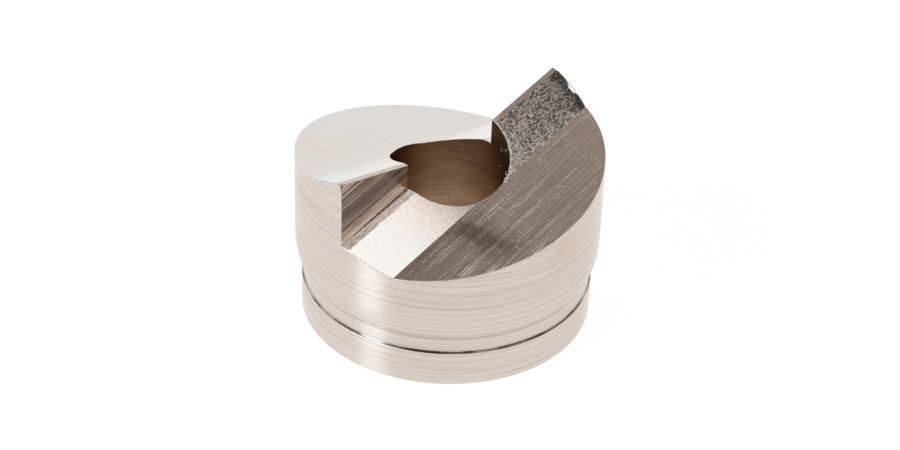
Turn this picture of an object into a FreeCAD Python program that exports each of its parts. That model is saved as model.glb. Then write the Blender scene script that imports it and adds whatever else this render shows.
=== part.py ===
import FreeCAD, Part
import math
import os

# A knockout punch for sheet metal, turned, bored and milled from one piece of tool steel.
# Millimetres. The Z axis is the bore's, +Z is the way the punch cuts, and the origin is
# the middle of the flat base. The cut across the top is two like halves, each the other
# turned half a turn about Z. One half slopes up along +X, the other along -X, and each
# ends in a tip with an upright wall that looks down on the other half's low end.

# Turned outside
cutting_diameter = 74.6     # the hole that it punches
land_height = 9.0           # straight land between the shoulder and the lowest cutting edge
shoulder_height = 7.6       # rounded relief under the land
shoulder_depth = 1.95       # how far the waist lies inside the land
waist_height = 3.8
band_height = 9.2
band_step = 0.45            # how far the base band stands out from the waist
band_edge_radius = 0.15
cove_radius = 0.55          # hollow between the band and the waist
base_edge_radius = 0.4

# Smooth bore for the draw stud
stud_diameter = 28.6
stud_clearance = 0.2        # radial
bore_chamfer = 0.8

# Cut across the top, from the wall outwards
slant_angle = 12.8          # rise of the whole cut along its length
lip_width = 2.0
lip_fall_angle = 2.2
flank_width = 11.5
flank_fall_angle = 19.6
wall_setback = 0.55         # each wall stands this far behind the middle plane
foot_groove_width = 0.4     # corner left by the cutter at the foot of each wall
foot_groove_depth = 0.3

# Damage
chip_angle = -12.4          # bite out of the cutting edge beside the tip on +X
chip_radius = 3.2
chip_bite = 0.6
nick_radius = 0.45          # small nick down the top corner of the tip on -X
nick_bite = 0.25
nick_length = 1.2

# Values worked out from the sizes above
cutting_radius = cutting_diameter / 2
waist_radius = cutting_radius - shoulder_depth
band_radius = waist_radius + band_step
bore_radius = stud_diameter / 2 + stud_clearance
cove_turn = math.acos((cove_radius - band_step + band_edge_radius) / (cove_radius + band_edge_radius))
cove_middle = band_height - band_edge_radius + (band_edge_radius + cove_radius) * math.sin(cove_turn)
shoulder_foot = band_height + waist_height
shoulder_top = shoulder_foot + shoulder_height
slant = math.tan(math.radians(slant_angle))
lip_fall = math.tan(math.radians(lip_fall_angle))
flank_fall = math.tan(math.radians(flank_fall_angle))
table_height = shoulder_top + land_height + cutting_radius * slant
flank_height = table_height + flank_width * flank_fall
crest_height = flank_height + lip_width * lip_fall
stock = 5.0                 # spare height and width of the blank and the cutters
blank_height = crest_height + cutting_radius * slant + stock

AXIS = FreeCAD.Vector(0, 0, 1)
ORIGIN = FreeCAD.Vector(0, 0, 0)


def line(start, end):
    """Straight edge between two (radius, height) points of the turned section."""
    return Part.makeLine(FreeCAD.Vector(start[0], 0, start[1]), FreeCAD.Vector(end[0], 0, end[1]))


def arc(centre, radius, start_angle, end_angle):
    """Arc of the turned section, with its angles in degrees from the +X direction."""
    points = []
    for angle in (start_angle, (start_angle + end_angle) / 2, end_angle):
        turn = math.radians(angle)
        x = centre[0] + radius * math.cos(turn)
        z = centre[1] + radius * math.sin(turn)
        points.append(FreeCAD.Vector(x, 0, z))
    return Part.Arc(*points).toShape()


def turned_blank():
    """The bored blank before milling: base band, waist, rounded shoulder and straight land."""
    shoulder_radius = (shoulder_height ** 2 + shoulder_depth ** 2) / (2 * shoulder_depth)
    shoulder_turn = math.degrees(math.asin(shoulder_height / shoulder_radius))
    cove_angle = math.degrees(cove_turn)
    section = [
        line((bore_radius + bore_chamfer, 0), (band_radius - base_edge_radius, 0)),
        arc((band_radius - base_edge_radius, base_edge_radius), base_edge_radius, -90, 0),
        line((band_radius, base_edge_radius), (band_radius, band_height - band_edge_radius)),
        arc((band_radius - band_edge_radius, band_height - band_edge_radius), band_edge_radius, 0, cove_angle),
        arc((waist_radius + cove_radius, cove_middle), cove_radius, 180 + cove_angle, 180),
        line((waist_radius, cove_middle), (waist_radius, shoulder_foot)),
        arc((cutting_radius - shoulder_radius, shoulder_top), shoulder_radius, -shoulder_turn, 0),
        line((cutting_radius, shoulder_top), (cutting_radius, blank_height)),
        line((cutting_radius, blank_height), (bore_radius, blank_height)),
        line((bore_radius, blank_height), (bore_radius, bore_chamfer)),
        line((bore_radius, bore_chamfer), (bore_radius + bore_chamfer, 0)),
    ]
    face = Part.Face(Part.Wire(section))
    return face.revolve(ORIGIN, AXIS, 360)


def cutter(wall, direction, groove):
    """Everything above one half's surfaces, from the axis outwards along +X or -X.

    wall is how far past the middle plane the cutter reaches on the other half's side, and
    groove says whether it leaves the small corner at the foot of that half's wall.
    """
    reach = cutting_radius + stock
    floor = [(wall, crest_height + wall * lip_fall)]
    if groove:
        groove_edge = wall - foot_groove_width
        floor = [
            (wall, crest_height + wall * lip_fall - foot_groove_depth),
            (groove_edge, crest_height + groove_edge * lip_fall),
        ]
    floor += [
        (-lip_width, flank_height),
        (-lip_width - flank_width, table_height),
        (-reach, table_height),
    ]
    roof = blank_height + reach * slant + stock
    outline = floor + [(-reach, roof), (wall, roof)]
    points = [FreeCAD.Vector(0, y, z) for y, z in outline]
    face = Part.Face(Part.makePolygon(points + points[:1]))
    return face.extrude(FreeCAD.Vector(direction * reach, 0, direction * reach * slant))


def half_cut():
    """Cutter for the half on the -Y side, which rises along +X to its tip."""
    low_end = cutter(wall_setback, -1, True)
    high_end = cutter(-wall_setback, 1, False)
    return [low_end, high_end]


def edge_point(angle):
    """Point on the cutting edge of the -Y half's flank, at an angle about the Z axis."""
    turn = math.radians(angle)
    x = cutting_radius * math.cos(turn)
    y = cutting_radius * math.sin(turn)
    height = flank_height + (y + lip_width) * flank_fall + x * slant
    return FreeCAD.Vector(x, y, height)


def chip():
    """Bite out of the cutting edge: a ball that reaches chip_bite inside the land."""
    edge = edge_point(chip_angle)
    outward = FreeCAD.Vector(edge.x, edge.y, 0).normalize()
    centre = edge + outward * (chip_radius - chip_bite)
    return Part.makeSphere(chip_radius, centre)


def nick():
    """Small dent in the corner where the wall of the tip on -X meets the land."""
    x = -math.sqrt(cutting_radius ** 2 - wall_setback ** 2)
    corner = FreeCAD.Vector(x, wall_setback, crest_height - wall_setback * lip_fall - x * slant)
    away = FreeCAD.Vector(-1, -1, 0).normalize()
    centre = corner + away * (nick_radius - nick_bite)
    return Part.makeCylinder(nick_radius, nick_length, centre, -AXIS)


def punch():
    """The finished punch as one solid."""
    cutters = half_cut()
    for shape in half_cut():
        shape.rotate(ORIGIN, AXIS, 180)
        cutters.append(shape)
    body = turned_blank().cut(cutters)
    body = body.cut([chip(), nick()])
    return body.removeSplitter()


os.makedirs("parts", exist_ok=True)
finished = punch()
finished.exportStep("parts/punch.step")
print("punch: solids", len(finished.Solids), "valid", finished.isValid(), "volume", round(finished.Volume))
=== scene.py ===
import math
import random

import bmesh
import bpy
from mathutils import Matrix, Quaternion, Vector


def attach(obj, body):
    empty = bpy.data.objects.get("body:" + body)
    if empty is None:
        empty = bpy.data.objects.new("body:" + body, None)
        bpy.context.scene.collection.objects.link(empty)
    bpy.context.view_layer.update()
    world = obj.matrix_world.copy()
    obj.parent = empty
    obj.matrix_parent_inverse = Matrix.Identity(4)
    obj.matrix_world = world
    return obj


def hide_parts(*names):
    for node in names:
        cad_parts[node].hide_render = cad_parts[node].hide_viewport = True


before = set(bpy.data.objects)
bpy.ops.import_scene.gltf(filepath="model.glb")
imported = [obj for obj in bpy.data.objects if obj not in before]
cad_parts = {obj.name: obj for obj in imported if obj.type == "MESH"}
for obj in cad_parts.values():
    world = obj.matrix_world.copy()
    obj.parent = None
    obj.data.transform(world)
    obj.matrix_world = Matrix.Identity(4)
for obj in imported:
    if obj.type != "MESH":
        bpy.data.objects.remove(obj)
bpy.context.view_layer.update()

# A knockout punch for sheet metal, turned, bored and milled from one piece of plated steel.
# Lengths are in metres. Z is the bore's axis and the way the punch cuts. The cut across the
# top is two like halves, each the other turned half a turn about Z.
MM = 0.001

# Turned outside
CUTTING_RADIUS = 37.3 * MM
LAND_HEIGHT = 9.0 * MM
SHOULDER_HEIGHT = 7.6 * MM
SHOULDER_DEPTH = 1.95 * MM
WAIST_HEIGHT = 3.8 * MM
BAND_HEIGHT = 9.2 * MM
BAND_STEP = 0.45 * MM
BAND_EDGE = 0.15 * MM
COVE_RADIUS = 0.55 * MM
BASE_EDGE = 0.4 * MM

# Bore for the draw stud
BORE_RADIUS = 14.5 * MM
BORE_CHAMFER = 0.8 * MM

# Cut across the top, measured outwards from the middle plane
SLANT = math.tan(math.radians(12.8))
LIP_WIDTH = 2.0 * MM
LIP_FALL = math.tan(math.radians(2.2))
FLANK_WIDTH = 11.5 * MM
FLANK_FALL = math.tan(math.radians(19.6))
WALL_SETBACK = 0.55 * MM
GROOVE_WIDTH = 0.4 * MM
GROOVE_DEPTH = 0.3 * MM

# Edges and the fineness of the curves
EDGE_ROUND = 0.11 * MM
EDGE_STEPS = 3
SHARP_TURN = math.radians(35)
SMOOTH_TURN = math.radians(16)
SHOULDER_STEPS = 12
COVE_STEPS = 8
BAND_EDGE_STEPS = 5
BASE_EDGE_STEPS = 8
RIM_STEP = math.radians(1.2)
BORE_STEP = math.radians(3.0)
JOINED_WITHIN = 0.001 * MM

# Damage
CHIP_START = math.radians(-9.8)
CHIP_STOP = math.radians(-15.0)
CHIP_DEPTH = 1.3 * MM
CHIP_BITES = 6
CHIP_DROPS = 3
CHIP_DROP = 0.6 * MM
RIM_BITES = 45
CORNER_DENTS = 3
CORNER_DENT_RADIUS = 0.42 * MM
LIP_GAP_RADIUS = 0.55 * MM
TABLE_STEP_ANGLE = math.radians(-21.5)
TABLE_STEP_RADIUS = 0.55 * MM
BITE_SKIN = {"Skin Share": 0.3, "Skin Density": 2500.0, "Ball Detail": 2}

# Lint and burrs
LINT_THICKNESS = 0.12 * MM
BURR_THICKNESS = 0.16 * MM
CHIP_THREAD_THICKNESS = 0.17 * MM
TABLE_LINT = 150
BORE_LINT = 120
LINE_BURRS = 90
BORE_BURRS = 60
FLANK_CRUMBS = 200
CHIP_THREADS = 6
FIBRE_SHAPE = {"Bend Density": 900.0, "Joints": 9, "Sides": 5}
FIBRE_BEND = 0.9
CHIP_THREAD_BEND = 0.1

# Heights and radii worked out from the sizes above
WAIST_RADIUS = CUTTING_RADIUS - SHOULDER_DEPTH
BAND_RADIUS = WAIST_RADIUS + BAND_STEP
COVE_TURN = math.acos((COVE_RADIUS - BAND_STEP + BAND_EDGE) / (COVE_RADIUS + BAND_EDGE))
COVE_FOOT = BAND_HEIGHT - BAND_EDGE + BAND_EDGE * math.sin(COVE_TURN)
SHOULDER_FOOT = BAND_HEIGHT + WAIST_HEIGHT
SHOULDER_TOP = SHOULDER_FOOT + SHOULDER_HEIGHT
SHOULDER_RADIUS = (SHOULDER_HEIGHT ** 2 + SHOULDER_DEPTH ** 2) / (2 * SHOULDER_DEPTH)
SHOULDER_TURN = math.asin(SHOULDER_HEIGHT / SHOULDER_RADIUS)
TABLE_LINE = LIP_WIDTH + FLANK_WIDTH
TABLE_HEIGHT = SHOULDER_TOP + LAND_HEIGHT + CUTTING_RADIUS * SLANT
FLANK_HEIGHT = TABLE_HEIGHT + FLANK_WIDTH * FLANK_FALL
CREST_HEIGHT = FLANK_HEIGHT + LIP_WIDTH * LIP_FALL


# Small helpers for node trees

def add_node(tree, kind, inputs=None, **settings):
    """Adds a node. Inputs are given by name or number, each as a value or as a socket to link."""
    node = tree.nodes.new(kind)
    for name, value in settings.items():
        setattr(node, name, value)
    set_inputs(tree, node, inputs or {})
    return node


def set_inputs(tree, node, inputs):
    """Gives each named input of the node its value, or links it where the value is a socket."""
    for name, value in inputs.items():
        if isinstance(value, bpy.types.NodeSocket):
            tree.links.new(value, node.inputs[name])
        else:
            node.inputs[name].default_value = value


def calculated(tree, operation, first, second=0.0):
    return add_node(tree, "ShaderNodeMath", {0: first, 1: second}, operation=operation).outputs[0]


def multiplied(tree, first, second):
    return calculated(tree, "MULTIPLY", first, second)


def summed(tree, first, second):
    return calculated(tree, "ADD", first, second)


def blended(tree, first, share, second):
    """A share of the first value, and of the second what is left of 1."""
    return summed(tree, multiplied(tree, first, share), multiplied(tree, second, 1.0 - share))


def ranged(tree, value, from_low, from_high, to_low=0.0, to_high=1.0):
    """The value moved from one range to another, and held inside it."""
    inputs = {0: value, 1: from_low, 2: from_high, 3: to_low, 4: to_high}
    return add_node(tree, "ShaderNodeMapRange", inputs).outputs[0]


def mixed(tree, mask, first, second):
    """A colour that goes from first to second as the mask goes from 0 to 1."""
    return add_node(tree, "ShaderNodeMix", {0: mask, 6: first, 7: second}, data_type="RGBA").outputs[2]


def combined(tree, operation, first, second):
    """Two vectors put together by a vector operation."""
    return add_node(tree, "ShaderNodeVectorMath", {0: first, 1: second}, operation=operation).outputs[0]


def stretched(tree, vector, factors):
    """The vector with each of its parts multiplied by a factor of its own."""
    return combined(tree, "MULTIPLY", vector, factors)


def resized(tree, vector, scale):
    return add_node(tree, "ShaderNodeVectorMath", {0: vector, "Scale": scale}, operation="SCALE").outputs[0]


def length_of(tree, vector):
    return add_node(tree, "ShaderNodeVectorMath", {0: vector}, operation="LENGTH").outputs["Value"]


def parts_of(tree, vector):
    """The x, y and z of a vector."""
    return add_node(tree, "ShaderNodeSeparateXYZ", {0: vector}).outputs[:]


def noise_at(tree, place, detail):
    """Smooth noise from 0 to 1, one cell for each unit of place."""
    inputs = {"Vector": place, "Scale": 1.0, "Detail": detail}
    return add_node(tree, "ShaderNodeTexNoise", inputs).outputs[0]


def new_group(name, kind, inputs, outputs):
    """A node group with named sockets: its tree, what it is given, and where its results go."""
    tree = bpy.data.node_groups.new(name, kind)
    for way, sockets in (("INPUT", inputs), ("OUTPUT", outputs)):
        for title, socket in sockets.items():
            tree.interface.new_socket(title, in_out=way, socket_type="NodeSocket" + socket)
    entry = tree.nodes.new("NodeGroupInput")
    leave = tree.nodes.new("NodeGroupOutput")
    return tree, entry.outputs, leave.inputs


# Effects that the finishes share

def make_tool_lines():
    """Marks of a cutting tool, each from 0 to 1: long ridges, short scratches and broad bands."""
    tree, given, result = new_group(
        "tool lines", "ShaderNodeTree",
        {"Across": "Float", "Along": "Vector", "Ridge Spacing": "Float", "Ridge Length": "Float",
         "Evenness": "Float"},
        {"Ridges": "Float", "Scratches": "Float", "Bands": "Float"},
    )
    ridge_cells = (1.7, 1.0, 1.0)
    wander_cells = (0.2, 1.0, 1.0)
    scratch_cells = (1.9, 3.0, 3.0)
    band_cells = (0.14, 0.8, 0.8)
    scratch_place = (31.0, 17.0, 53.0)
    most_wander = 14.0

    # One unit of place is a ridge across and its length along
    count = calculated(tree, "DIVIDE", given["Across"], given["Ridge Spacing"])
    drift = resized(tree, given["Along"], calculated(tree, "DIVIDE", 1.0, given["Ridge Length"]))
    drift_x, drift_y, _ = parts_of(tree, drift)
    place = add_node(tree, "ShaderNodeCombineXYZ", {0: count, 1: drift_x, 2: drift_y}).outputs[0]

    # Ridges, from loose noise to an even wave as the evenness goes up
    loose = ranged(tree, noise_at(tree, stretched(tree, place, ridge_cells), 1.0), 0.3, 0.7)
    wander = multiplied(tree, noise_at(tree, stretched(tree, place, wander_cells), 1.0), most_wander)
    turn = summed(tree, multiplied(tree, count, math.tau), wander)
    even = ranged(tree, calculated(tree, "SINE", turn), -1.0, 1.0)
    ridges = add_node(tree, "ShaderNodeMix", {0: given["Evenness"], 2: loose, 3: even}).outputs[0]
    tree.links.new(ridges, result["Ridges"])

    # Scratches and bands
    moved = combined(tree, "ADD", place, scratch_place)
    scratches = noise_at(tree, stretched(tree, moved, scratch_cells), 0.0)
    tree.links.new(ranged(tree, scratches, 0.68, 0.74), result["Scratches"])
    bands = noise_at(tree, stretched(tree, place, band_cells), 1.0)
    tree.links.new(ranged(tree, bands, 0.3, 0.7), result["Bands"])
    return tree


def make_grain():
    """Fine grain of a surface without tool lines, and clouds eight grains across."""
    tree, given, result = new_group(
        "metal grain", "ShaderNodeTree",
        {"Vector": "Vector", "Grain Size": "Float"}, {"Grain": "Float", "Clouds": "Float"},
    )
    cloud_cells = 0.12
    place = resized(tree, given["Vector"], calculated(tree, "DIVIDE", 1.0, given["Grain Size"]))
    tree.links.new(noise_at(tree, place, 3.0), result["Grain"])
    tree.links.new(noise_at(tree, resized(tree, place, cloud_cells), 3.0), result["Clouds"])
    return tree


TOOL_LINES = make_tool_lines()
METAL_GRAIN = make_grain()


# Finishes

NICKEL = (0.845, 0.76, 0.695, 1.0)
NICKEL_SHADE = (0.66, 0.585, 0.53, 1.0)
LINE_BROWN = (0.36, 0.29, 0.245, 1.0)
TABLE_NICKEL = (0.99, 0.915, 0.85, 1.0)
TABLE_SHADE = (0.46, 0.41, 0.37, 1.0)
# Plain mid tone painted on the far half of the table as its even reflection
TABLE_EVEN_REFLECTION = (0.73, 0.69, 0.655, 1.0)
LIP_NICKEL = (1.0, 0.96, 0.93, 1.0)
LIP_SHADE = (0.52, 0.43, 0.38, 1.0)
WALL_NICKEL = (1.0, 0.88, 0.80, 1.0)
WALL_SHADE = (0.27, 0.205, 0.17, 1.0)
FLANK_NICKEL = (0.79, 0.795, 0.785, 1.0)
FLANK_SHADE = (0.76, 0.752, 0.735, 1.0)
FLANK_WARM = (0.92, 0.85, 0.785, 1.0)
SOOT = (0.14, 0.135, 0.13, 1.0)
CORNER_BLACK = (0.05, 0.04, 0.035, 1.0)
STAIN = (0.74, 0.52, 0.38, 1.0)
# Cove colours are painted shade, far darker than the nickel of the turned sides
COVE_SHADED_NICKEL = (0.48, 0.42, 0.38, 1.0)
COVE_SHADED_BROWN = (0.20, 0.15, 0.12, 1.0)
BORE_BROWN = (0.47, 0.32, 0.215, 1.0)
OILY_BROWN = (0.31, 0.205, 0.135, 1.0)
BURR_WHITE = (1.0, 0.99, 0.98, 1.0)
LINT_WHITE = (1.0, 0.96, 0.91, 1.0)
LINT_BROWN = (0.62, 0.56, 0.50, 1.0)

# Way in which the gloss of lined metal spreads, at right angles to its lines
ALONG_Y = (0, 1, 0)
ALONG_Z = (0, 0, 1)

# Tool lines of each surface
SIDE_LINES = {"spacing": 0.3 * MM, "length": 150.0 * MM}
TABLE_LINES = {"spacing": 0.66 * MM, "length": 28.0 * MM, "evenness": 0.6}
FLANK_LINES = {"spacing": 0.6 * MM, "length": 12.0 * MM}
FLANK_DASHES = {"spacing": 0.55 * MM, "length": 1.1 * MM}
LIP_TEARS = {"spacing": 0.65 * MM, "length": 1.3 * MM}
WALL_LINES = {"spacing": 0.8 * MM, "length": 60.0 * MM, "evenness": 0.2}
BORE_LINES = {"spacing": 0.6 * MM, "length": 40.0 * MM}

# Stains and dirt, and patches of painted shade and reflection, each with its middle and how far it reaches
# along x, y and z
LAND_STAIN = (-0.5 * MM, -37.0 * MM, 32.0 * MM), (8.0 * MM, 8.0 * MM, 6.0 * MM)
TABLE_SMEAR_AND_REFLECTION = (-13.0 * MM, -21.0 * MM, 35.0 * MM), (7.0 * MM, 15.0 * MM, 8.0 * MM)
TABLE_STAIN = (-21.0 * MM, 25.0 * MM, 43.0 * MM), (10.0 * MM, 10.0 * MM, 10.0 * MM)
EDGE_DIRT = (-36.5 * MM, 6.0 * MM, 49.5 * MM), (4.0 * MM, 9.0 * MM, 4.0 * MM)
NICK_SHADE = (-37.2 * MM, 0.5 * MM, 50.0 * MM), (1.4 * MM, 1.4 * MM, 1.6 * MM)


def new_material(name):
    """An empty material, its node tree, and the input that its shader goes to."""
    material = bpy.data.materials.new(name)
    material.use_nodes = True
    tree = material.node_tree
    tree.nodes.clear()
    return material, tree, tree.nodes.new("ShaderNodeOutputMaterial").inputs["Surface"]


def place_on(tree):
    """Place of each point on the piece."""
    return tree.nodes.new("ShaderNodeTexCoord").outputs["Object"]


def new_metal(name, roughness, anisotropy=0.0, spread_way=None):
    """A bare metal material, its shader, and the place of each point on the piece."""
    material, tree, surface = new_material(name)
    shader = add_node(tree, "ShaderNodeBsdfPrincipled", {"Metallic": 1.0, "Roughness": roughness})
    shader.inputs["Anisotropic"].default_value = anisotropy
    if spread_way:
        x, y, z = spread_way
        way = add_node(tree, "ShaderNodeCombineXYZ", {0: x, 1: y, 2: z})
        tree.links.new(way.outputs[0], shader.inputs["Tangent"])
    tree.links.new(shader.outputs[0], surface)
    return material, tree, shader, place_on(tree)


def lines_on(tree, across, place, spacing, length, evenness=0.0):
    """Ridges, scratches and bands of the tool lines."""
    group = tree.nodes.new("ShaderNodeGroup")
    group.node_tree = TOOL_LINES
    set_inputs(tree, group, {"Across": across, "Along": place, "Evenness": evenness})
    set_inputs(tree, group, {"Ridge Spacing": spacing, "Ridge Length": length})
    return group.outputs["Ridges"], group.outputs["Scratches"], group.outputs["Bands"]


def grain_on(tree, place, size):
    """Grain and clouds of the metal grain."""
    group = tree.nodes.new("ShaderNodeGroup")
    group.node_tree = METAL_GRAIN
    set_inputs(tree, group, {"Vector": place, "Grain Size": size})
    return group.outputs["Grain"], group.outputs["Clouds"]


def distance_from_axis(tree, place):
    return length_of(tree, stretched(tree, place, (1.0, 1.0, 0.0)))


def patch(tree, place, middle, reach):
    """1 at the middle, falling to 0 at reach away from it along each axis."""
    away = combined(tree, "DIVIDE", combined(tree, "SUBTRACT", place, middle), reach)
    return ranged(tree, length_of(tree, away), 0.0, 1.0, 1.0, 0.0)


def painted(tree, shader, colour):
    tree.links.new(colour, shader.inputs["Base Color"])


def bumped(tree, shader, height, strength, distance):
    bump = add_node(tree, "ShaderNodeBump", {"Height": height, "Strength": strength, "Distance": distance})
    tree.links.new(bump.outputs[0], shader.inputs["Normal"])


def turned_side():
    """Outside of the punch: fine lines and scratches round the axis, and a brown stain on the land."""
    material, tree, shader, place = new_metal("turned plated steel", 0.27, 1.0, ALONG_Z)
    ridges, scratches, bands = lines_on(tree, parts_of(tree, place)[2], place, **SIDE_LINES)
    colour = mixed(tree, blended(tree, ridges, 0.85, bands), NICKEL_SHADE, NICKEL)
    colour = mixed(tree, multiplied(tree, scratches, 0.5), colour, LINE_BROWN)
    clouds = grain_on(tree, place, 0.35 * MM)[1]
    stain = multiplied(tree, patch(tree, place, *LAND_STAIN), ranged(tree, clouds, 0.3, 0.7, 0.15, 0.85))
    painted(tree, shader, mixed(tree, stain, colour, STAIN))
    bumped(tree, shader, ridges, 0.5, 0.006 * MM)
    return material


def polished_cove():
    """Small hollow over the base band, its colour painted darker than the turned sides as shade in the
    hollow.
    """
    material, tree, shader, place = new_metal("polished cove", 0.2, 0.9, ALONG_Z)
    clouds = grain_on(tree, place, 0.8 * MM)[1]
    # Painted shade: both colours are darkened to stand in for the shade in the hollow
    painted(tree, shader, mixed(tree, ranged(tree, clouds, 0.42, 0.58), COVE_SHADED_NICKEL, COVE_SHADED_BROWN))
    return material


def milled_table():
    """Broad flat of each half: straight lines along the slope, faint on the far half, whose colour is
    painted plainer and darker as its even reflection.
    """
    material, tree, shader, place = new_metal("milled table", 0.15, 0.3, ALONG_Y)
    x, y, _ = parts_of(tree, place)
    ridges, scratches, bands = lines_on(tree, y, place, **TABLE_LINES)
    colour = mixed(tree, blended(tree, ridges, 0.88, bands), TABLE_SHADE, TABLE_NICKEL)
    far_half = ranged(tree, y, -1.0 * MM, 0.0)
    near_half = ranged(tree, far_half, 0.0, 1.0, 1.0, 0.0)
    # Painted reflection: the far half, milled like the near one, is mixed towards a plain mid tone that
    # stands in for its even reflection of the bright lamp
    colour = mixed(tree, multiplied(tree, far_half, 0.8), colour, TABLE_EVEN_REFLECTION)

    # Dark brown smear across the near half, partly dirt and partly painted dark reflection over its middle,
    # and darker along the flank at its low end
    clouds = grain_on(tree, stretched(tree, place, (1.0, 0.5, 1.0)), 0.55 * MM)[1]
    smear_and_reflection = multiplied(tree, patch(tree, place, *TABLE_SMEAR_AND_REFLECTION), ranged(tree, clouds, 0.35, 0.6, 0.4, 1.4))
    low_end = ranged(tree, x, -24.0 * MM, -8.0 * MM, 0.5, 0.0)
    beside_flank = ranged(tree, y, -19.0 * MM, -TABLE_LINE)
    low_end_darkening = multiplied(tree, low_end, multiplied(tree, beside_flank, near_half))
    colour = mixed(tree, summed(tree, smear_and_reflection, low_end_darkening), colour, LINE_BROWN)

    # Faint stain on the far half
    stain = multiplied(tree, patch(tree, place, *TABLE_STAIN), ranged(tree, clouds, 0.4, 0.6, 0.0, 0.32))
    painted(tree, shader, mixed(tree, stain, colour, STAIN))

    # Ridges, scratches and a sparkling grain, lower on the far half and towards the worn tip
    sparkle = grain_on(tree, stretched(tree, place, (0.6, 1.0, 0.6)), 0.3 * MM)[0]
    height = summed(tree, ridges, multiplied(tree, scratches, 0.3))
    height = summed(tree, height, multiplied(tree, sparkle, 0.7))
    height = multiplied(tree, height, ranged(tree, far_half, 0.0, 1.0, 1.0, 0.25))
    height = multiplied(tree, height, ranged(tree, x, -6.0 * MM, 16.0 * MM, 1.0, 0.65))
    bumped(tree, shader, height, 1.0, 0.034 * MM)
    return material


def milled_flank():
    """Sloping flank beside each lip: pale and finely hatched, dark and sparkling at the worn tip."""
    material, tree, shader, place = new_metal("milled flank", 0.12)
    x, y, _ = parts_of(tree, place)
    radius = distance_from_axis(tree, place)
    ridges = lines_on(tree, x, place, **FLANK_LINES)[0]
    dashes = lines_on(tree, y, place, **FLANK_DASHES)[0]
    grain, clouds = grain_on(tree, stretched(tree, place, (0.85, 1.1, 1.0)), 0.3 * MM)

    # Pale metal, warmer and more specked towards the bore
    colour = mixed(tree, ridges, FLANK_SHADE, FLANK_NICKEL)
    warmth = ranged(tree, radius, 15.0 * MM, 27.0 * MM, 0.9, 0.0)
    colour = mixed(tree, warmth, colour, FLANK_WARM)
    near_bore = ranged(tree, radius, 15.0 * MM, 29.0 * MM, 0.42, 0.09)
    specks = multiplied(tree, near_bore, ranged(tree, grain, 0.55, 0.42))
    colour = mixed(tree, specks, colour, LINE_BROWN)

    # Dark pits over the worn end of the near half
    near_half = ranged(tree, y, 0.0, -1.0 * MM)
    worn_end = multiplied(tree, ranged(tree, x, 4.0 * MM, 14.0 * MM), near_half)
    colour = mixed(tree, multiplied(tree, worn_end, 0.22), colour, LINE_BROWN)
    sparkle = summed(tree, multiplied(tree, grain, 0.8), multiplied(tree, dashes, 0.35))
    pits = ranged(tree, summed(tree, sparkle, multiplied(tree, clouds, 0.3)), 0.80, 0.645)
    colour = mixed(tree, multiplied(tree, worn_end, pits), colour, SOOT)

    # Black ragged strip along the worn rim
    ragged = summed(tree, multiplied(tree, clouds, 5.0 * MM), multiplied(tree, grain, 4.0 * MM))
    rim = ranged(tree, summed(tree, radius, ragged), 38.2 * MM, 40.1 * MM)
    rim = multiplied(tree, rim, ranged(tree, grain, 0.45, 0.6, 1.0, 0.4))
    painted(tree, shader, mixed(tree, multiplied(tree, worn_end, rim), colour, CORNER_BLACK))

    height = multiplied(tree, worn_end, multiplied(tree, sparkle, 3.2))
    height = summed(tree, height, multiplied(tree, ridges, 0.06))
    bumped(tree, shader, height, 1.0, 0.02 * MM)
    return material


def milled_lip():
    """Narrow strip along the top of each flank, torn and bright at its low end, brown at its high one."""
    material, tree, shader, place = new_metal("milled lip", 0.3)
    _, y, z = parts_of(tree, place)
    tears = lines_on(tree, y, place, **LIP_TEARS)[0]
    grain, clouds = grain_on(tree, place, 0.5 * MM)
    high_end = ranged(tree, z, CREST_HEIGHT - 2.0 * MM, CREST_HEIGHT + 4.0 * MM)
    mottle = ranged(tree, blended(tree, grain, 0.6, clouds), 0.4, 0.55, 0.18, 0.0)
    shade = summed(tree, mottle, multiplied(tree, high_end, 0.75))
    painted(tree, shader, mixed(tree, shade, LIP_NICKEL, LIP_SHADE))
    height = multiplied(tree, tears, ranged(tree, high_end, 0.0, 1.0, 1.0, 0.12))
    bumped(tree, shader, height, 1.0, 0.27 * MM)
    return material


def foot_corner():
    """Small corner at the foot of each wall, painted black as the shadow in its undercut, fading to bright
    metal near the rim.
    """
    material, tree, shader, place = new_metal("shaded corner", 0.5)
    grain = grain_on(tree, place, 0.3 * MM)[0]
    # Painted shadow: black mottled with brown stands in for the shade at the foot of the wall, and fades
    # out towards the rim
    colour = mixed(tree, ranged(tree, grain, 0.45, 0.58), CORNER_BLACK, LIP_SHADE)
    rim = ranged(tree, distance_from_axis(tree, place), 28.0 * MM, 35.0 * MM, 0.0, 0.8)
    painted(tree, shader, mixed(tree, rim, colour, LIP_NICKEL))
    bumped(tree, shader, grain, 1.0, 0.08 * MM)
    return material


def milled_wall():
    """Upright wall of each tip: streaks that follow the slope at its foot, and a painted reflection of the
    lip as a light band just above the foot, a little darker over it.
    """
    material, tree, shader, place = new_metal("milled wall", 0.25, 0.3, ALONG_Z)
    x, _, z = parts_of(tree, place)
    across = summed(tree, z, multiplied(tree, calculated(tree, "ABSOLUTE", x), SLANT))
    ridges, scratches, bands = lines_on(tree, across, place, **WALL_LINES)
    # Painted reflection: lighter within 2 mm above the foot and a little darker beyond, standing in for the
    # lip mirrored in the wall
    painted_foot_reflection = ranged(tree, across, CREST_HEIGHT + 2.0 * MM, CREST_HEIGHT + 4.5 * MM, 0.4, -0.08)
    tone = summed(tree, blended(tree, ridges, 0.6, bands), painted_foot_reflection)
    colour = mixed(tree, ranged(tree, tone, 0.12, 0.62), WALL_SHADE, WALL_NICKEL)
    painted(tree, shader, mixed(tree, multiplied(tree, scratches, 0.7), colour, LINE_BROWN))
    bumped(tree, shader, ridges, 1.0, 0.07 * MM)
    return material


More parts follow.
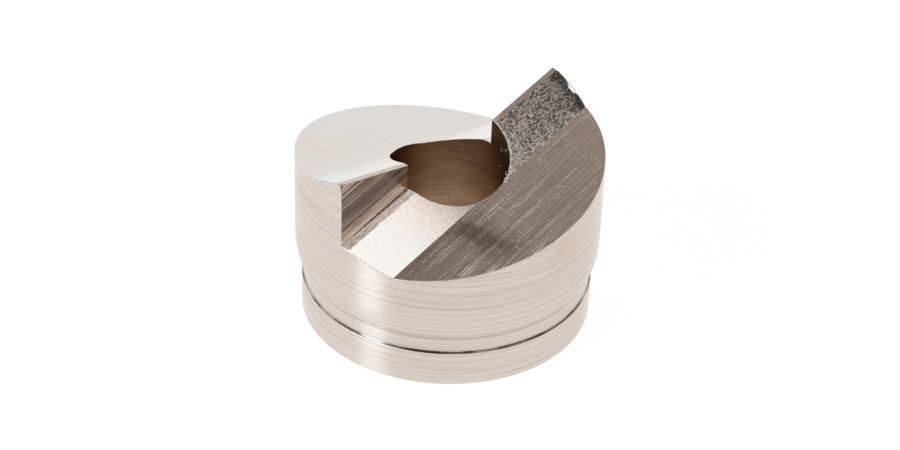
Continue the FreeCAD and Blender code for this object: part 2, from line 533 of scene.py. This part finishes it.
def reamed_bore():
    """Smooth bore, browned by oil, with faint lines round the axis."""
    material, tree, shader, place = new_metal("reamed bore", 0.3, 0.6, ALONG_Z)
    ridges = lines_on(tree, parts_of(tree, place)[2], place, **BORE_LINES)[0]
    clouds = grain_on(tree, stretched(tree, place, (0.5, 0.5, 1.0)), 0.5 * MM)[1]
    tone = ranged(tree, blended(tree, ridges, 0.25, clouds), 0.3, 0.7, 1.0, 0.0)
    painted(tree, shader, mixed(tree, tone, BORE_BROWN, OILY_BROWN))
    bumped(tree, shader, ridges, 0.5, 0.01 * MM)
    return material


def worn_edge():
    """Thin rounded edges and the floors of bites, worn bright, dirty at the tip on -X, with painted shade
    in the nick at its corner.
    """
    material, tree, shader, place = new_metal("bright edge", 0.3)
    grain = grain_on(tree, place, 0.5 * MM)[0]
    colour = mixed(tree, ranged(tree, grain, 0.45, 0.58), LIP_NICKEL, NICKEL_SHADE)
    dirt = multiplied(tree, patch(tree, place, *EDGE_DIRT), ranged(tree, grain, 0.45, 0.55, 0.3, 1.4))
    colour = mixed(tree, dirt, colour, LINE_BROWN)
    # Painted shade: black in the nick at the corner of the tip on -X
    painted_nick_shade = ranged(tree, patch(tree, place, *NICK_SHADE), 0.0, 0.4)
    painted(tree, shader, mixed(tree, painted_nick_shade, colour, CORNER_BLACK))
    bumped(tree, shader, grain, 0.4, 0.04 * MM)
    return material


def torn_burr():
    """Curls of torn metal, bright all over."""
    material, tree, shader, place = new_metal("torn burr", 0.5)
    grain, clouds = grain_on(tree, place, 0.2 * MM)
    painted(tree, shader, mixed(tree, ranged(tree, clouds, 0.42, 0.58), BURR_WHITE, LIP_NICKEL))
    bumped(tree, shader, grain, 0.3, 0.03 * MM)
    return material


def ground_base():
    """Flat underside."""
    material, tree, shader, place = new_metal("ground base", 0.34)
    grain, clouds = grain_on(tree, place, 0.5 * MM)
    painted(tree, shader, mixed(tree, clouds, NICKEL, NICKEL_SHADE))
    bumped(tree, shader, grain, 0.3, 0.03 * MM)
    return material


def dusty_lint():
    """Dust and fibres that lie on the metal."""
    material, tree, surface = new_material("dusty lint")
    shader = add_node(tree, "ShaderNodeBsdfPrincipled", {"Roughness": 0.9})
    clouds = grain_on(tree, place_on(tree), 0.5 * MM)[1]
    painted(tree, shader, mixed(tree, ranged(tree, clouds, 0.4, 0.6), LINT_WHITE, LINT_BROWN))
    tree.links.new(shader.outputs[0], surface)
    return material


FINISHES = {
    "side": turned_side(),
    "cove": polished_cove(),
    "table": milled_table(),
    "flank": milled_flank(),
    "lip": milled_lip(),
    "corner": foot_corner(),
    "wall": milled_wall(),
    "bore": reamed_bore(),
    "base": ground_base(),
    "edge": worn_edge(),
    "burr": torn_burr(),
}
FINISH_ORDER = list(FINISHES)


# Punch body

def new_object(name, data):
    """A new object at the origin, put into the scene."""
    thing = bpy.data.objects.new(name, data)
    bpy.context.collection.objects.link(thing)
    return thing


def built(name, mesh, materials):
    """An object made of the finished mesh in these materials."""
    data = bpy.data.meshes.new(name)
    mesh.to_mesh(data)
    mesh.free()
    for material in materials:
        data.materials.append(material)
    return new_object(name, data)


def on_circle(radius, angle, height):
    return Vector((radius * math.cos(angle), radius * math.sin(angle), height))


def cut_height(outwards, along):
    """Height of a half's surfaces, outwards from the middle plane and along up the slope."""
    if outwards > TABLE_LINE:
        height = TABLE_HEIGHT
    elif outwards > LIP_WIDTH:
        height = FLANK_HEIGHT - (outwards - LIP_WIDTH) * FLANK_FALL
    else:
        height = CREST_HEIGHT - outwards * LIP_FALL
    groove = max(0.0, -outwards - WALL_SETBACK + GROOVE_WIDTH) / GROOVE_WIDTH
    return height + along * SLANT - GROOVE_DEPTH * groove


def spread(start, stop, step):
    """Even angles from start to stop, stop left out."""
    count = max(1, math.ceil((stop - start) / step))
    return [start + (stop - start) * i / count for i in range(count)]


def column_angles(radius, step):
    """Angles of one half's columns on a circle, in stretches named for the surface above each."""
    def low_end(y):
        """Angle where the circle meets a line of the cut on the -X side."""
        return -math.pi - math.asin(y / radius)

    def high_end(y):
        """Angle where it meets one on the +X side."""
        return math.asin(y / radius)

    marks = [
        ("groove", low_end(WALL_SETBACK)),
        ("lip", low_end(WALL_SETBACK - GROOVE_WIDTH)),
        ("flank", low_end(-LIP_WIDTH)),
        ("table", low_end(-TABLE_LINE)),
        ("high flank", high_end(-TABLE_LINE)),
        ("high lip", high_end(-LIP_WIDTH)),
    ]
    ends = [start for _, start in marks[1:]] + [high_end(-WALL_SETBACK)]
    stretches = [(name, spread(start, stop, step)) for (name, start), stop in zip(marks, ends)]
    return stretches, ends[-1]


def turned_section():
    """(radius, height, finish) of the outside from the foot of the land down to the base.

    The finish is that of the surface just under each point.
    """
    points = []
    for i in range(SHOULDER_STEPS + 1):
        turn = SHOULDER_TURN * i / SHOULDER_STEPS
        radius = CUTTING_RADIUS - SHOULDER_RADIUS + SHOULDER_RADIUS * math.cos(turn)
        points.append((radius, SHOULDER_TOP - SHOULDER_RADIUS * math.sin(turn), "side"))
    for i in range(COVE_STEPS + 1):
        turn = COVE_TURN * i / COVE_STEPS
        radius = WAIST_RADIUS + COVE_RADIUS - COVE_RADIUS * math.cos(turn)
        height = COVE_FOOT + COVE_RADIUS * (math.sin(COVE_TURN) - math.sin(turn))
        points.append((radius, height, "cove"))
    for i in range(1, BAND_EDGE_STEPS + 1):
        turn = COVE_TURN * (1 - i / BAND_EDGE_STEPS)
        radius = BAND_RADIUS - BAND_EDGE + BAND_EDGE * math.cos(turn)
        finish = "edge" if i < BAND_EDGE_STEPS else "side"
        points.append((radius, BAND_HEIGHT - BAND_EDGE + BAND_EDGE * math.sin(turn), finish))
    for i in range(BASE_EDGE_STEPS + 1):
        turn = math.pi / 2 * i / BASE_EDGE_STEPS
        radius = BAND_RADIUS - BASE_EDGE + BASE_EDGE * math.cos(turn)
        points.append((radius, BASE_EDGE - BASE_EDGE * math.sin(turn), "side"))
    return points


def cut_edge(mesh, radius, step):
    """Where one half's cut ends on a circle.

    Gives its columns' angles, the surface after each, their points and the foot of the wall.
    """
    stretches, last = column_angles(radius, step)
    angles, surfaces = [], []
    for name, values in stretches:
        angles += values
        surfaces += [name] * len(values)
    angles.append(last)
    tops = []
    for angle in angles:
        place = on_circle(radius, angle, 0)
        place.z = cut_height(-place.y, place.x)
        tops.append(mesh.verts.new(place))
    foot = on_circle(radius, last, 0)
    foot.z = cut_height(-WALL_SETBACK, -foot.x)
    return angles, surfaces, tops, mesh.verts.new(foot)


def add_face(mesh, points, finish):
    face = mesh.faces.new(points)
    face.material_index = FINISH_ORDER.index(finish)
    face.smooth = True


def half_body(mesh):
    """Half of the punch: one half's surfaces and all that is under them."""
    rim_angles, rim_surfaces, rim_tops, rim_foot = cut_edge(mesh, CUTTING_RADIUS, RIM_STEP)
    bore_angles, bore_surfaces, bore_tops, bore_foot = cut_edge(mesh, BORE_RADIUS, BORE_STEP)

    # Milled surfaces, each one flat face between the rim and the bore
    finishes = {"groove": "corner", "high lip": "lip", "high flank": "flank"}
    for name in dict.fromkeys(rim_surfaces):
        rim = [i for i, surface in enumerate(rim_surfaces) if surface == name]
        bore = [i for i, surface in enumerate(bore_surfaces) if surface == name]
        rim_points = rim_tops[rim[0]:rim[-1] + 2]
        bore_points = bore_tops[bore[0]:bore[-1] + 2]
        add_face(mesh, rim_points + bore_points[::-1], finishes.get(name, name))
    add_face(mesh, [rim_foot, bore_foot, bore_tops[-1], rim_tops[-1]], "wall")

    # Land, shoulder, waist and band under the rim
    section = turned_section()
    rows = []
    for radius, height, _ in section:
        rows.append([mesh.verts.new(on_circle(radius, angle, height)) for angle in rim_angles])
    last = len(rim_angles) - 2
    for i in range(last + 1):
        beside = [rim_foot] if i == last else []
        add_face(mesh, [rows[0][i], rows[0][i + 1]] + beside + [rim_tops[i + 1], rim_tops[i]], "side")
        for upper, lower, (_, _, finish) in zip(rows, rows[1:], section):
            add_face(mesh, [lower[i], lower[i + 1], upper[i + 1], upper[i]], finish)

    # Bore and the chamfer at its lower end
    bore_rows = []
    for radius, height in ((BORE_RADIUS, BORE_CHAMFER), (BORE_RADIUS + BORE_CHAMFER, 0.0)):
        bore_rows.append([mesh.verts.new(on_circle(radius, angle, height)) for angle in bore_angles])
    upper, lower = bore_rows
    last = len(bore_angles) - 2
    for i in range(last + 1):
        beside = [bore_foot] if i == last else []
        add_face(mesh, [bore_tops[i], bore_tops[i + 1]] + beside + [upper[i + 1], upper[i]], "bore")
        add_face(mesh, [upper[i], upper[i + 1], lower[i + 1], lower[i]], "bore")

    # Underside, as triangles between the outer and the inner circle
    outer, inner = rows[-1], bore_rows[-1]
    i = j = 0
    while i < len(outer) - 1 or j < len(inner) - 1:
        step_outer = j == len(inner) - 1 or (i < len(outer) - 1 and rim_angles[i + 1] < bore_angles[j + 1])
        if step_outer:
            add_face(mesh, [outer[i], inner[j], outer[i + 1]], "base")
            i += 1
        else:
            add_face(mesh, [outer[i], inner[j], inner[j + 1]], "base")
            j += 1


def punch_body():
    """The whole punch, with its sharp top edges worn round."""
    mesh = bmesh.new()
    half_body(mesh)
    other = bmesh.ops.duplicate(mesh, geom=mesh.verts[:] + mesh.edges[:] + mesh.faces[:])["geom"]
    turned = [item for item in other if isinstance(item, bmesh.types.BMVert)]
    bmesh.ops.rotate(mesh, verts=turned, cent=(0, 0, 0), matrix=Matrix.Rotation(math.pi, 3, "Z"))
    bmesh.ops.remove_doubles(mesh, verts=mesh.verts[:], dist=JOINED_WITHIN)
    sharp = []
    for edge in mesh.edges:
        if len(edge.link_faces) == 2 and edge.is_convex and edge.calc_face_angle() > SHARP_TURN:
            if max(vert.co.z for vert in edge.verts) > SHOULDER_TOP:
                sharp.append(edge)
    bmesh.ops.bevel(
        mesh, geom=sharp, offset=EDGE_ROUND, offset_type="OFFSET", segments=EDGE_STEPS, profile=0.5,
        affect="EDGES", clamp_overlap=True, material=FINISH_ORDER.index("edge"),
    )
    for edge in mesh.edges:
        finishes = {face.material_index for face in edge.link_faces}
        edge.smooth = len(finishes) == 1 and edge.calc_face_angle() < SMOOTH_TURN
    return built("punch_body", mesh, FINISHES.values())


# Damage

def new_geometry_group(name, inputs):
    """A Geometry Nodes tree with a mesh coming in, the named inputs, and a mesh going out."""
    mesh = {"Geometry": "Geometry"}
    tree, given, result = new_group(name, "GeometryNodeTree", mesh | inputs, mesh)
    tree.is_modifier = True
    return tree, given, result


def named(tree, attribute, kind="FLOAT"):
    """Value that each point was given under this name."""
    node = add_node(tree, "GeometryNodeInputNamedAttribute", {"Name": attribute}, data_type=kind)
    return node.outputs["Attribute"]


def put_on_points(tree, points, shape, inputs):
    """The shape on every point, scaled and turned by the other inputs, as real geometry."""
    placed = add_node(tree, "GeometryNodeInstanceOnPoints", {"Points": points, "Instance": shape} | inputs)
    return add_node(tree, "GeometryNodeRealizeInstances", {"Geometry": placed.outputs[0]}).outputs[0]


def noise_over(tree, density, detail):
    """Value and colour of a noise over the places of the geometry's points."""
    place = tree.nodes.new("GeometryNodeInputPosition").outputs[0]
    inputs = {"Vector": place, "Scale": density, "Detail": detail}
    return add_node(tree, "ShaderNodeTexNoise", inputs).outputs[:]


def shifted(tree, geometry, offset):
    return add_node(tree, "GeometryNodeSetPosition", {"Geometry": geometry, "Offset": offset}).outputs[0]


def covered(tree, geometry, material):
    """The geometry with its instances made real, all in one material."""
    whole = add_node(tree, "GeometryNodeRealizeInstances", {"Geometry": geometry})
    inputs = {"Geometry": whole.outputs[0], "Material": material}
    return add_node(tree, "GeometryNodeSetMaterial", inputs).outputs[0]


def point_cloud(name, points, values):
    """Object made only of points, each with the named numbers or directions that the tree reads."""
    data = bpy.data.meshes.new(name)
    data.from_pydata(points, [], [])
    for title, entries in values.items():
        if isinstance(entries[0], Vector):
            layer = data.attributes.new(title, "FLOAT_VECTOR", "POINT")
            layer.data.foreach_set("vector", [number for entry in entries for number in entry])
        else:
            data.attributes.new(title, "FLOAT", "POINT").data.foreach_set("value", entries)
    return new_object(name, data)


def grown(cloud, tree, values):
    """Runs the tree on the points and leaves its result as the object's plain mesh."""
    modifier = cloud.modifiers.new(tree.name, "NODES")
    modifier.node_group = tree
    for item in tree.interface.items_tree:
        if item.in_out == "INPUT" and item.name in values:
            modifier[item.identifier] = values[item.name]
    return settled(cloud)


def settled(piece):
    """Leaves the result of the object's modifiers as its plain mesh."""
    depsgraph = bpy.context.evaluated_depsgraph_get()
    data = bpy.data.meshes.new_from_object(piece.evaluated_get(depsgraph))
    piece.modifiers.clear()
    piece.data = data
    return piece


def make_bite_tree():
    """A bumpy ball on each point, as large as the point's bite radius."""
    inputs = {"Skin Share": "Float", "Skin Density": "Float", "Ball Detail": "Int", "Material": "Material"}
    tree, given, result = new_geometry_group("bites", inputs)
    radius = named(tree, "bite radius")
    inputs = {"Radius": 1.0, "Subdivisions": given["Ball Detail"]}
    ball = add_node(tree, "GeometryNodeMeshIcoSphere", inputs).outputs["Mesh"]
    balls = put_on_points(tree, given["Geometry"], ball, {"Scale": radius})
    swing = ranged(tree, noise_over(tree, given["Skin Density"], 2.0)[0], 0.3, 0.7, -1.0, 1.0)
    depth = multiplied(tree, multiplied(tree, swing, given["Skin Share"]), radius)
    normal = tree.nodes.new("GeometryNodeInputNormal").outputs[0]
    bumpy = shifted(tree, balls, resized(tree, normal, depth))
    tree.links.new(covered(tree, bumpy, given["Material"]), result["Geometry"])
    return tree


def rim_place(angle, radius):
    """Point of the milled top at this angle and radius, on either half."""
    place = on_circle(radius, angle, 0)
    half = 1 if place.y < 0 else -1
    place.z = cut_height(-place.y * half, place.x * half)
    return place


def chip_bites(draw):
    """Bites out of the cutting edge beside the worn tip, side by side, from the rim inwards and down."""
    bites = []
    for i in range(CHIP_BITES):
        share = i / (CHIP_BITES - 1)
        angle = CHIP_START + (CHIP_STOP - CHIP_START) * share
        depth = CHIP_DEPTH * (0.35 + 0.65 * math.sin(math.pi * share)) * draw.uniform(0.8, 1.0)
        radius = draw.uniform(0.5, 0.75) * MM
        for inwards in (depth, depth * 0.5, 0.2 * MM):
            top = rim_place(angle, CUTTING_RADIUS + radius - inwards)
            for drop in range(CHIP_DROPS):
                smaller = 1.0 - 0.12 * drop
                bites.append((top - Vector((0, 0, drop * CHIP_DROP)), radius * smaller))
    return bites


def rim_bites(draw):
    """Small nicks all along both cutting edges."""
    bites = []
    for half in range(2):
        for _ in range(RIM_BITES):
            angle = half * math.pi + math.radians(draw.uniform(-177, -3))
            radius = draw.uniform(0.1, 0.26) * MM
            depth = radius * draw.uniform(0.2, 0.55)
            clear = 0.5 * (radius - depth)
            bites.append((rim_place(angle, CUTTING_RADIUS + clear) + Vector((0, 0, clear)), radius))
    return bites


def corner_bites():
    """Dent down the corner of the tip on -X, the gap at the worn lip's end, and a step in the rim."""
    bites = []
    corner = rim_place(math.pi - math.asin(WALL_SETBACK / CUTTING_RADIUS), CUTTING_RADIUS)
    for i in range(CORNER_DENTS):
        bites.append((corner + Vector((-0.15 * MM, -0.15 * MM, -0.4 * MM * i)), CORNER_DENT_RADIUS))
    lip_end = rim_place(-math.asin(LIP_WIDTH / CUTTING_RADIUS), CUTTING_RADIUS)
    bites.append((lip_end + Vector((0.15 * MM, 0, 0.1 * MM)), LIP_GAP_RADIUS))
    bites.append((rim_place(TABLE_STEP_ANGLE, CUTTING_RADIUS + 0.3 * MM), TABLE_STEP_RADIUS))
    return bites


def drop_crumbs(data):
    """Removes the small loose bits that bites can leave behind."""
    mesh = bmesh.new()
    mesh.from_mesh(data)
    unseen = set(mesh.verts)
    islands = []
    while unseen:
        island, shore = set(), [unseen.pop()]
        while shore:
            vert = shore.pop()
            island.add(vert)
            followers = [edge.other_vert(vert) for edge in vert.link_edges]
            shore += [follower for follower in followers if follower in unseen]
            unseen.difference_update(followers)
        islands.append(island)
    for island in sorted(islands, key=len)[:-1]:
        bmesh.ops.delete(mesh, geom=list(island), context="VERTS")
    mesh.to_mesh(data)
    mesh.free()


def damaged(body):
    """Takes the chip, the nicks and the dents out of the body."""
    draw = random.Random(11)
    bites = chip_bites(draw) + corner_bites() + rim_bites(draw)
    places, radii = (list(column) for column in zip(*bites))
    cutter = point_cloud("bites", places, {"bite radius": radii})
    grown(cutter, make_bite_tree(), BITE_SKIN | {"Material": FINISHES["edge"]})
    boolean = body.modifiers.new("damage", "BOOLEAN")
    boolean.operation = "DIFFERENCE"
    boolean.solver = "EXACT"
    boolean.use_self = True
    boolean.material_mode = "TRANSFER"
    boolean.object = cutter
    settled(body)
    drop_crumbs(body.data)
    bpy.data.objects.remove(cutter)
    return body


body = damaged(punch_body())
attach(body, "root")
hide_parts("punch")


# Lint and burrs

def make_fibre_tree():
    """A thin bent fibre on each point, flat on what the point faces away from."""
    inputs = {
        "Thickness": "Float", "Bend Share": "Float", "Bend Density": "Float", "Joints": "Int",
        "Sides": "Int", "Material": "Material",
    }
    tree, given, result = new_geometry_group("fibres", inputs)
    facing = named(tree, "facing", "FLOAT_VECTOR")
    lie = named(tree, "lie", "FLOAT_VECTOR")
    length = named(tree, "fibre length")

    # Straight fibres, one on each point
    ends = {"Start": (-0.5, 0, 0), "End": (0.5, 0, 0)}
    straight = add_node(tree, "GeometryNodeCurvePrimitiveLine", ends).outputs[0]
    joints = {"Curve": straight, "Count": given["Joints"]}
    jointed = add_node(tree, "GeometryNodeResampleCurve", joints).outputs[0]
    turned = add_node(tree, "FunctionNodeAlignRotationToVector", {"Vector": lie}, axis="X").outputs[0]
    fibres = put_on_points(tree, given["Geometry"], jointed, {"Rotation": turned, "Scale": length})

    # Bends that keep each fibre flat on its surface
    swing = combined(tree, "SUBTRACT", noise_over(tree, given["Bend Density"], 1.0)[1], (0.5, 0.5, 0.5))
    flat = combined(tree, "SUBTRACT", swing, combined(tree, "PROJECT", swing, facing))
    bend = resized(tree, flat, multiplied(tree, length, given["Bend Share"]))
    bent = shifted(tree, fibres, bend)

    # Round section
    section = {"Resolution": given["Sides"], "Radius": multiplied(tree, given["Thickness"], 0.5)}
    ring = add_node(tree, "GeometryNodeCurvePrimitiveCircle", section).outputs[0]
    sweep = {"Curve": bent, "Profile Curve": ring, "Fill Caps": True}
    swept = add_node(tree, "GeometryNodeCurveToMesh", sweep).outputs[0]
    tree.links.new(covered(tree, swept, given["Material"]), result["Geometry"])
    return tree


def cut_facing(y):
    """Way that the milled surface at this distance from the middle plane faces."""
    outwards = abs(y)
    if outwards > TABLE_LINE:
        fall = 0.0
    elif outwards > LIP_WIDTH:
        fall = FLANK_FALL
    else:
        fall = LIP_FALL
    half = 1 if y < 0 else -1
    return Vector((-SLANT * half, -fall * half, 1.0)).normalized()


def on_cut(draw, x, y, thickness, length):
    """A fibre on a milled surface: where it is, the way it faces, the way it lies and its length."""
    facing = cut_facing(y)
    place = Vector((x, y, cut_height(abs(y), x if y < 0 else -x)))
    lie = on_circle(1.0, draw.uniform(0, math.tau), 0)
    lie = (lie - lie.dot(facing) * facing).normalized()
    return place + facing * thickness * 0.5, facing, lie, length


def on_bore(draw, thickness, length):
    """A fibre on the wall of the bore, told in the same way."""
    angle = draw.uniform(-math.pi, math.pi)
    highest = rim_place(angle, BORE_RADIUS).z
    facing = -on_circle(1.0, angle, 0)
    around = on_circle(1.0, angle + math.pi / 2, 0)
    turn = draw.uniform(0, math.tau)
    lie = math.cos(turn) * around + math.sin(turn) * Vector((0, 0, 1))
    place = on_circle(BORE_RADIUS - thickness, angle, draw.uniform(4.0 * MM, highest - 2.0 * MM))
    return place, facing, lie, length


def lint_length(draw):
    """Mostly specks, with a few long fibres."""
    return min(0.15 + draw.expovariate(2.2), 2.4) * MM


def lint_fibres():
    """Lint on the near half and in the bore."""
    draw = random.Random(5)
    fibres = []
    for _ in range(TABLE_LINT):
        radius = draw.uniform(16.0, 36.0) * MM
        angle = math.radians(draw.uniform(-125, -12))
        place = on_circle(radius, angle, 0)
        fibres.append(on_cut(draw, place.x, place.y, LINT_THICKNESS, lint_length(draw)))
    for _ in range(BORE_LINT):
        fibres.append(on_bore(draw, LINT_THICKNESS, lint_length(draw)))
    return fibres


def burr_fibres():
    """Curled metal along the worn flank's foot and the bore's edge, and crumbs of it on the flank."""
    draw = random.Random(7)
    fibres = []
    for _ in range(LINE_BURRS):
        x = draw.uniform(5.5, 34.0) * MM
        y = -TABLE_LINE + draw.gauss(0.35, 0.5) * MM
        fibres.append(on_cut(draw, x, y, BURR_THICKNESS, draw.uniform(0.25, 0.8) * MM))
    for _ in range(BORE_BURRS):
        angle = math.radians(draw.uniform(-75, -20))
        place = on_circle(BORE_RADIUS + draw.uniform(0.0, 0.5) * MM, angle, 0)
        fibres.append(on_cut(draw, place.x, place.y, BURR_THICKNESS, draw.uniform(0.3, 0.9) * MM))
    for _ in range(FLANK_CRUMBS):
        x = draw.uniform(13.0, 31.0) * MM
        y = draw.uniform(-13.0, -2.5) * MM
        if math.hypot(x, y) > BORE_RADIUS:
            fibres.append(on_cut(draw, x, y, BURR_THICKNESS, draw.uniform(0.1, 0.3) * MM))
    return fibres


def chip_fibres():
    """Thread of metal left along the rim, outside the chip."""
    start = CHIP_START + math.radians(1.0)
    stop = CHIP_STOP - math.radians(1.0)
    upwards = Vector((0, 0, 1))
    overlap = 1.1
    length = abs(stop - start) * CUTTING_RADIUS / CHIP_THREADS * overlap
    fibres = []
    for i in range(CHIP_THREADS):
        angle = start + (stop - start) * (i + 0.5) / CHIP_THREADS
        along = rim_place(angle + 0.01, CUTTING_RADIUS) - rim_place(angle - 0.01, CUTTING_RADIUS)
        place = rim_place(angle, CUTTING_RADIUS - CHIP_THREAD_THICKNESS)
        fibres.append((place, upwards, along.normalized(), length))
    return fibres


def scattered(name, fibres, thickness, material, bend=FIBRE_BEND):
    """One piece made of all the fibres."""
    places, facings, lies, lengths = (list(column) for column in zip(*fibres))
    cloud = point_cloud(name, places, {"facing": facings, "lie": lies, "fibre length": lengths})
    values = {"Thickness": thickness, "Bend Share": bend, "Material": material}
    return grown(cloud, FIBRES, FIBRE_SHAPE | values)


FIBRES = make_fibre_tree()
lint = scattered("lint", lint_fibres(), LINT_THICKNESS, dusty_lint())
burrs = scattered("burrs", burr_fibres(), BURR_THICKNESS, FINISHES["burr"])
chip_thread = scattered(
    "chip_thread", chip_fibres(), CHIP_THREAD_THICKNESS, FINISHES["wall"], CHIP_THREAD_BEND
)
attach(lint, "root")
for thread in (burrs, chip_thread):
    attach(thread, "root")


# Stage

CARD_WHITE = (0.85, 0.85, 0.85, 1.0)
CARD_GLOW = (1.0, 1.0, 1.0, 1.0)
CARD_BRIGHTNESS = 1.11
CARD_GLOW_SHARE = 0.85
FLAG_BROWN = (0.202, 0.163, 0.141, 1.0)
DIM_CEILING = (0.205, 0.168, 0.148, 1.0)
BRIGHT_CEILING = (0.41, 0.345, 0.305, 1.0)
COOL_LIGHT = (0.86, 1.09, 1.28)

CAMERA_EYE = Vector((-368.7, -315.2, 356.1)) * MM
CAMERA_AIM = Vector((0.36, -0.42, 21.47)) * MM
CAMERA_ROLL = math.radians(1.975)
CAMERA_LENS = 96.21
CAMERA_SENSOR = 36.0


def glow_of(tree, colour, brightness):
    return add_node(tree, "ShaderNodeEmission", {"Color": colour, "Strength": brightness}).outputs[0]


def white_surface():
    """White card: seen as plain white, and shaded a little by what stands on it."""
    material, tree, surface = new_material("white card")
    shaded = add_node(tree, "ShaderNodeBsdfDiffuse", {"Color": CARD_WHITE})
    glow = glow_of(tree, CARD_GLOW, CARD_BRIGHTNESS)
    rays = tree.nodes.new("ShaderNodeLightPath").outputs
    seen = summed(tree, rays["Is Camera Ray"], rays["Is Glossy Ray"])
    seen = summed(tree, seen, rays["Is Transmission Ray"])
    share = multiplied(tree, seen, CARD_GLOW_SHARE)
    mix = add_node(tree, "ShaderNodeMixShader", {0: share, 1: shaded.outputs[0], 2: glow})
    tree.links.new(mix.outputs[0], surface)
    return material


def dark_surface():
    """Dark card: glows as dimly as cloth in shade."""
    material, tree, surface = new_material("dark card")
    tree.links.new(glow_of(tree, FLAG_BROWN, 1.0), surface)
    return material


def backdrop():
    """Round white table with a low white wall round it, wide enough for any camera to stand inside."""
    wall_radius, wall_height = 1.0, 0.86
    table_radius, corner = 0.25, 0.1
    count, corner_steps = 96, 8
    section = [(table_radius, 0.0), (wall_radius - corner, 0.0)]
    for i in range(1, corner_steps + 1):
        turn = math.pi / 2 * i / corner_steps
        section.append((wall_radius - corner + corner * math.sin(turn), corner - corner * math.cos(turn)))
    section.append((wall_radius, wall_height))
    mesh = bmesh.new()
    centre = mesh.verts.new((0, 0, 0))
    rings = []
    for radius, height in section:
        turns = [math.tau * i / count for i in range(count)]
        rings.append([mesh.verts.new(on_circle(radius, turn, height)) for turn in turns])
    for i in range(count):
        follower = (i + 1) % count
        mesh.faces.new([centre, rings[0][i], rings[0][follower]])
        for inner, outer in zip(rings, rings[1:]):
            mesh.faces.new([inner[i], outer[i], outer[follower], inner[follower]])
    for face in mesh.faces:
        face.smooth = True
    built("backdrop", mesh, [white_surface()])


def flag():
    """Dark card round the camera's side of the table, which the camera doesn't see but the metal does."""
    radius, bottom, top, count = 0.92, 0.03, 0.86, 48
    start, stop = math.radians(-176), math.radians(-20)
    mesh = bmesh.new()
    pairs = []
    for i in range(count + 1):
        angle = start + (stop - start) * i / count
        pairs.append([mesh.verts.new(on_circle(radius, angle, height)) for height in (bottom, top)])
    for near, far in zip(pairs, pairs[1:]):
        mesh.faces.new([near[0], near[1], far[1], far[0]])
    card = built("flag", mesh, [dark_surface()])
    card.visible_camera = False
    card.visible_shadow = False
    card.visible_diffuse = False


def softbox(name, place, aim, size, brightness, colour=(1, 1, 1), lean=0.0):
    """Flat soft lamp, facing aim. A brightness of 1 is white, and lean turns it in its own plane."""
    width, height = size
    lamp = bpy.data.lights.new(name, "AREA")
    lamp.shape = "RECTANGLE"
    lamp.size = width
    lamp.size_y = height
    lamp.energy = math.pi * width * height * brightness
    lamp.color = colour
    holder = new_object(name, lamp)
    holder.location = place
    facing = (Vector(aim) - Vector(place)).to_track_quat("-Z", "Y")
    holder.rotation_euler = (facing @ Quaternion((0, 0, 1), lean)).to_euler()
    holder.visible_camera = False


def studio_light():
    """Three soft lamps in a dim room that is brighter on its +X side."""
    world = bpy.data.worlds.new("studio")
    bpy.context.scene.world = world
    world.use_nodes = True
    tree = world.node_tree
    way = tree.nodes.new("ShaderNodeTexCoord").outputs["Generated"]
    share = ranged(tree, parts_of(tree, way)[0], 0.28, 0.42)
    ceiling = mixed(tree, share, DIM_CEILING, BRIGHT_CEILING)
    tree.links.new(ceiling, tree.nodes["Background"].inputs["Color"])
    softbox(
        "overhead softbox", place=(0.032, -0.15, 0.70), aim=(0.032, -0.15, 0.0), size=(0.305, 0.70),
        brightness=1.06,
    )
    softbox("front softbox", place=(0.26, -0.54, 0.77), aim=(0, 0, 0.04), size=(0.26, 0.26), brightness=2.0)
    softbox(
        "side softbox", place=(-0.775, 0.2, 0.42), aim=(0, 0, 0.42), size=(0.25, 0.84), brightness=3.6,
        colour=COOL_LIGHT, lean=math.radians(10),
    )


def camera():
    """Long lens from the front left, looking down at the punch, turned slightly about its own axis."""
    back = (CAMERA_EYE - CAMERA_AIM).normalized()
    level_right = Vector((0, 0, 1)).cross(back).normalized()
    level_up = back.cross(level_right)
    right = math.cos(CAMERA_ROLL) * level_right + math.sin(CAMERA_ROLL) * level_up
    up = back.cross(right)
    lens = bpy.data.cameras.new("camera")
    lens.lens = CAMERA_LENS
    lens.sensor_width = CAMERA_SENSOR
    lens.clip_start = 0.05
    lens.clip_end = 10.0
    holder = new_object("camera", lens)
    holder.matrix_world = Matrix.Translation(CAMERA_EYE) @ Matrix((right, up, back)).transposed().to_4x4()
    bpy.context.scene.camera = holder


backdrop()
flag()
studio_light()
camera()
bpy.context.scene.view_settings.view_transform = "Standard"
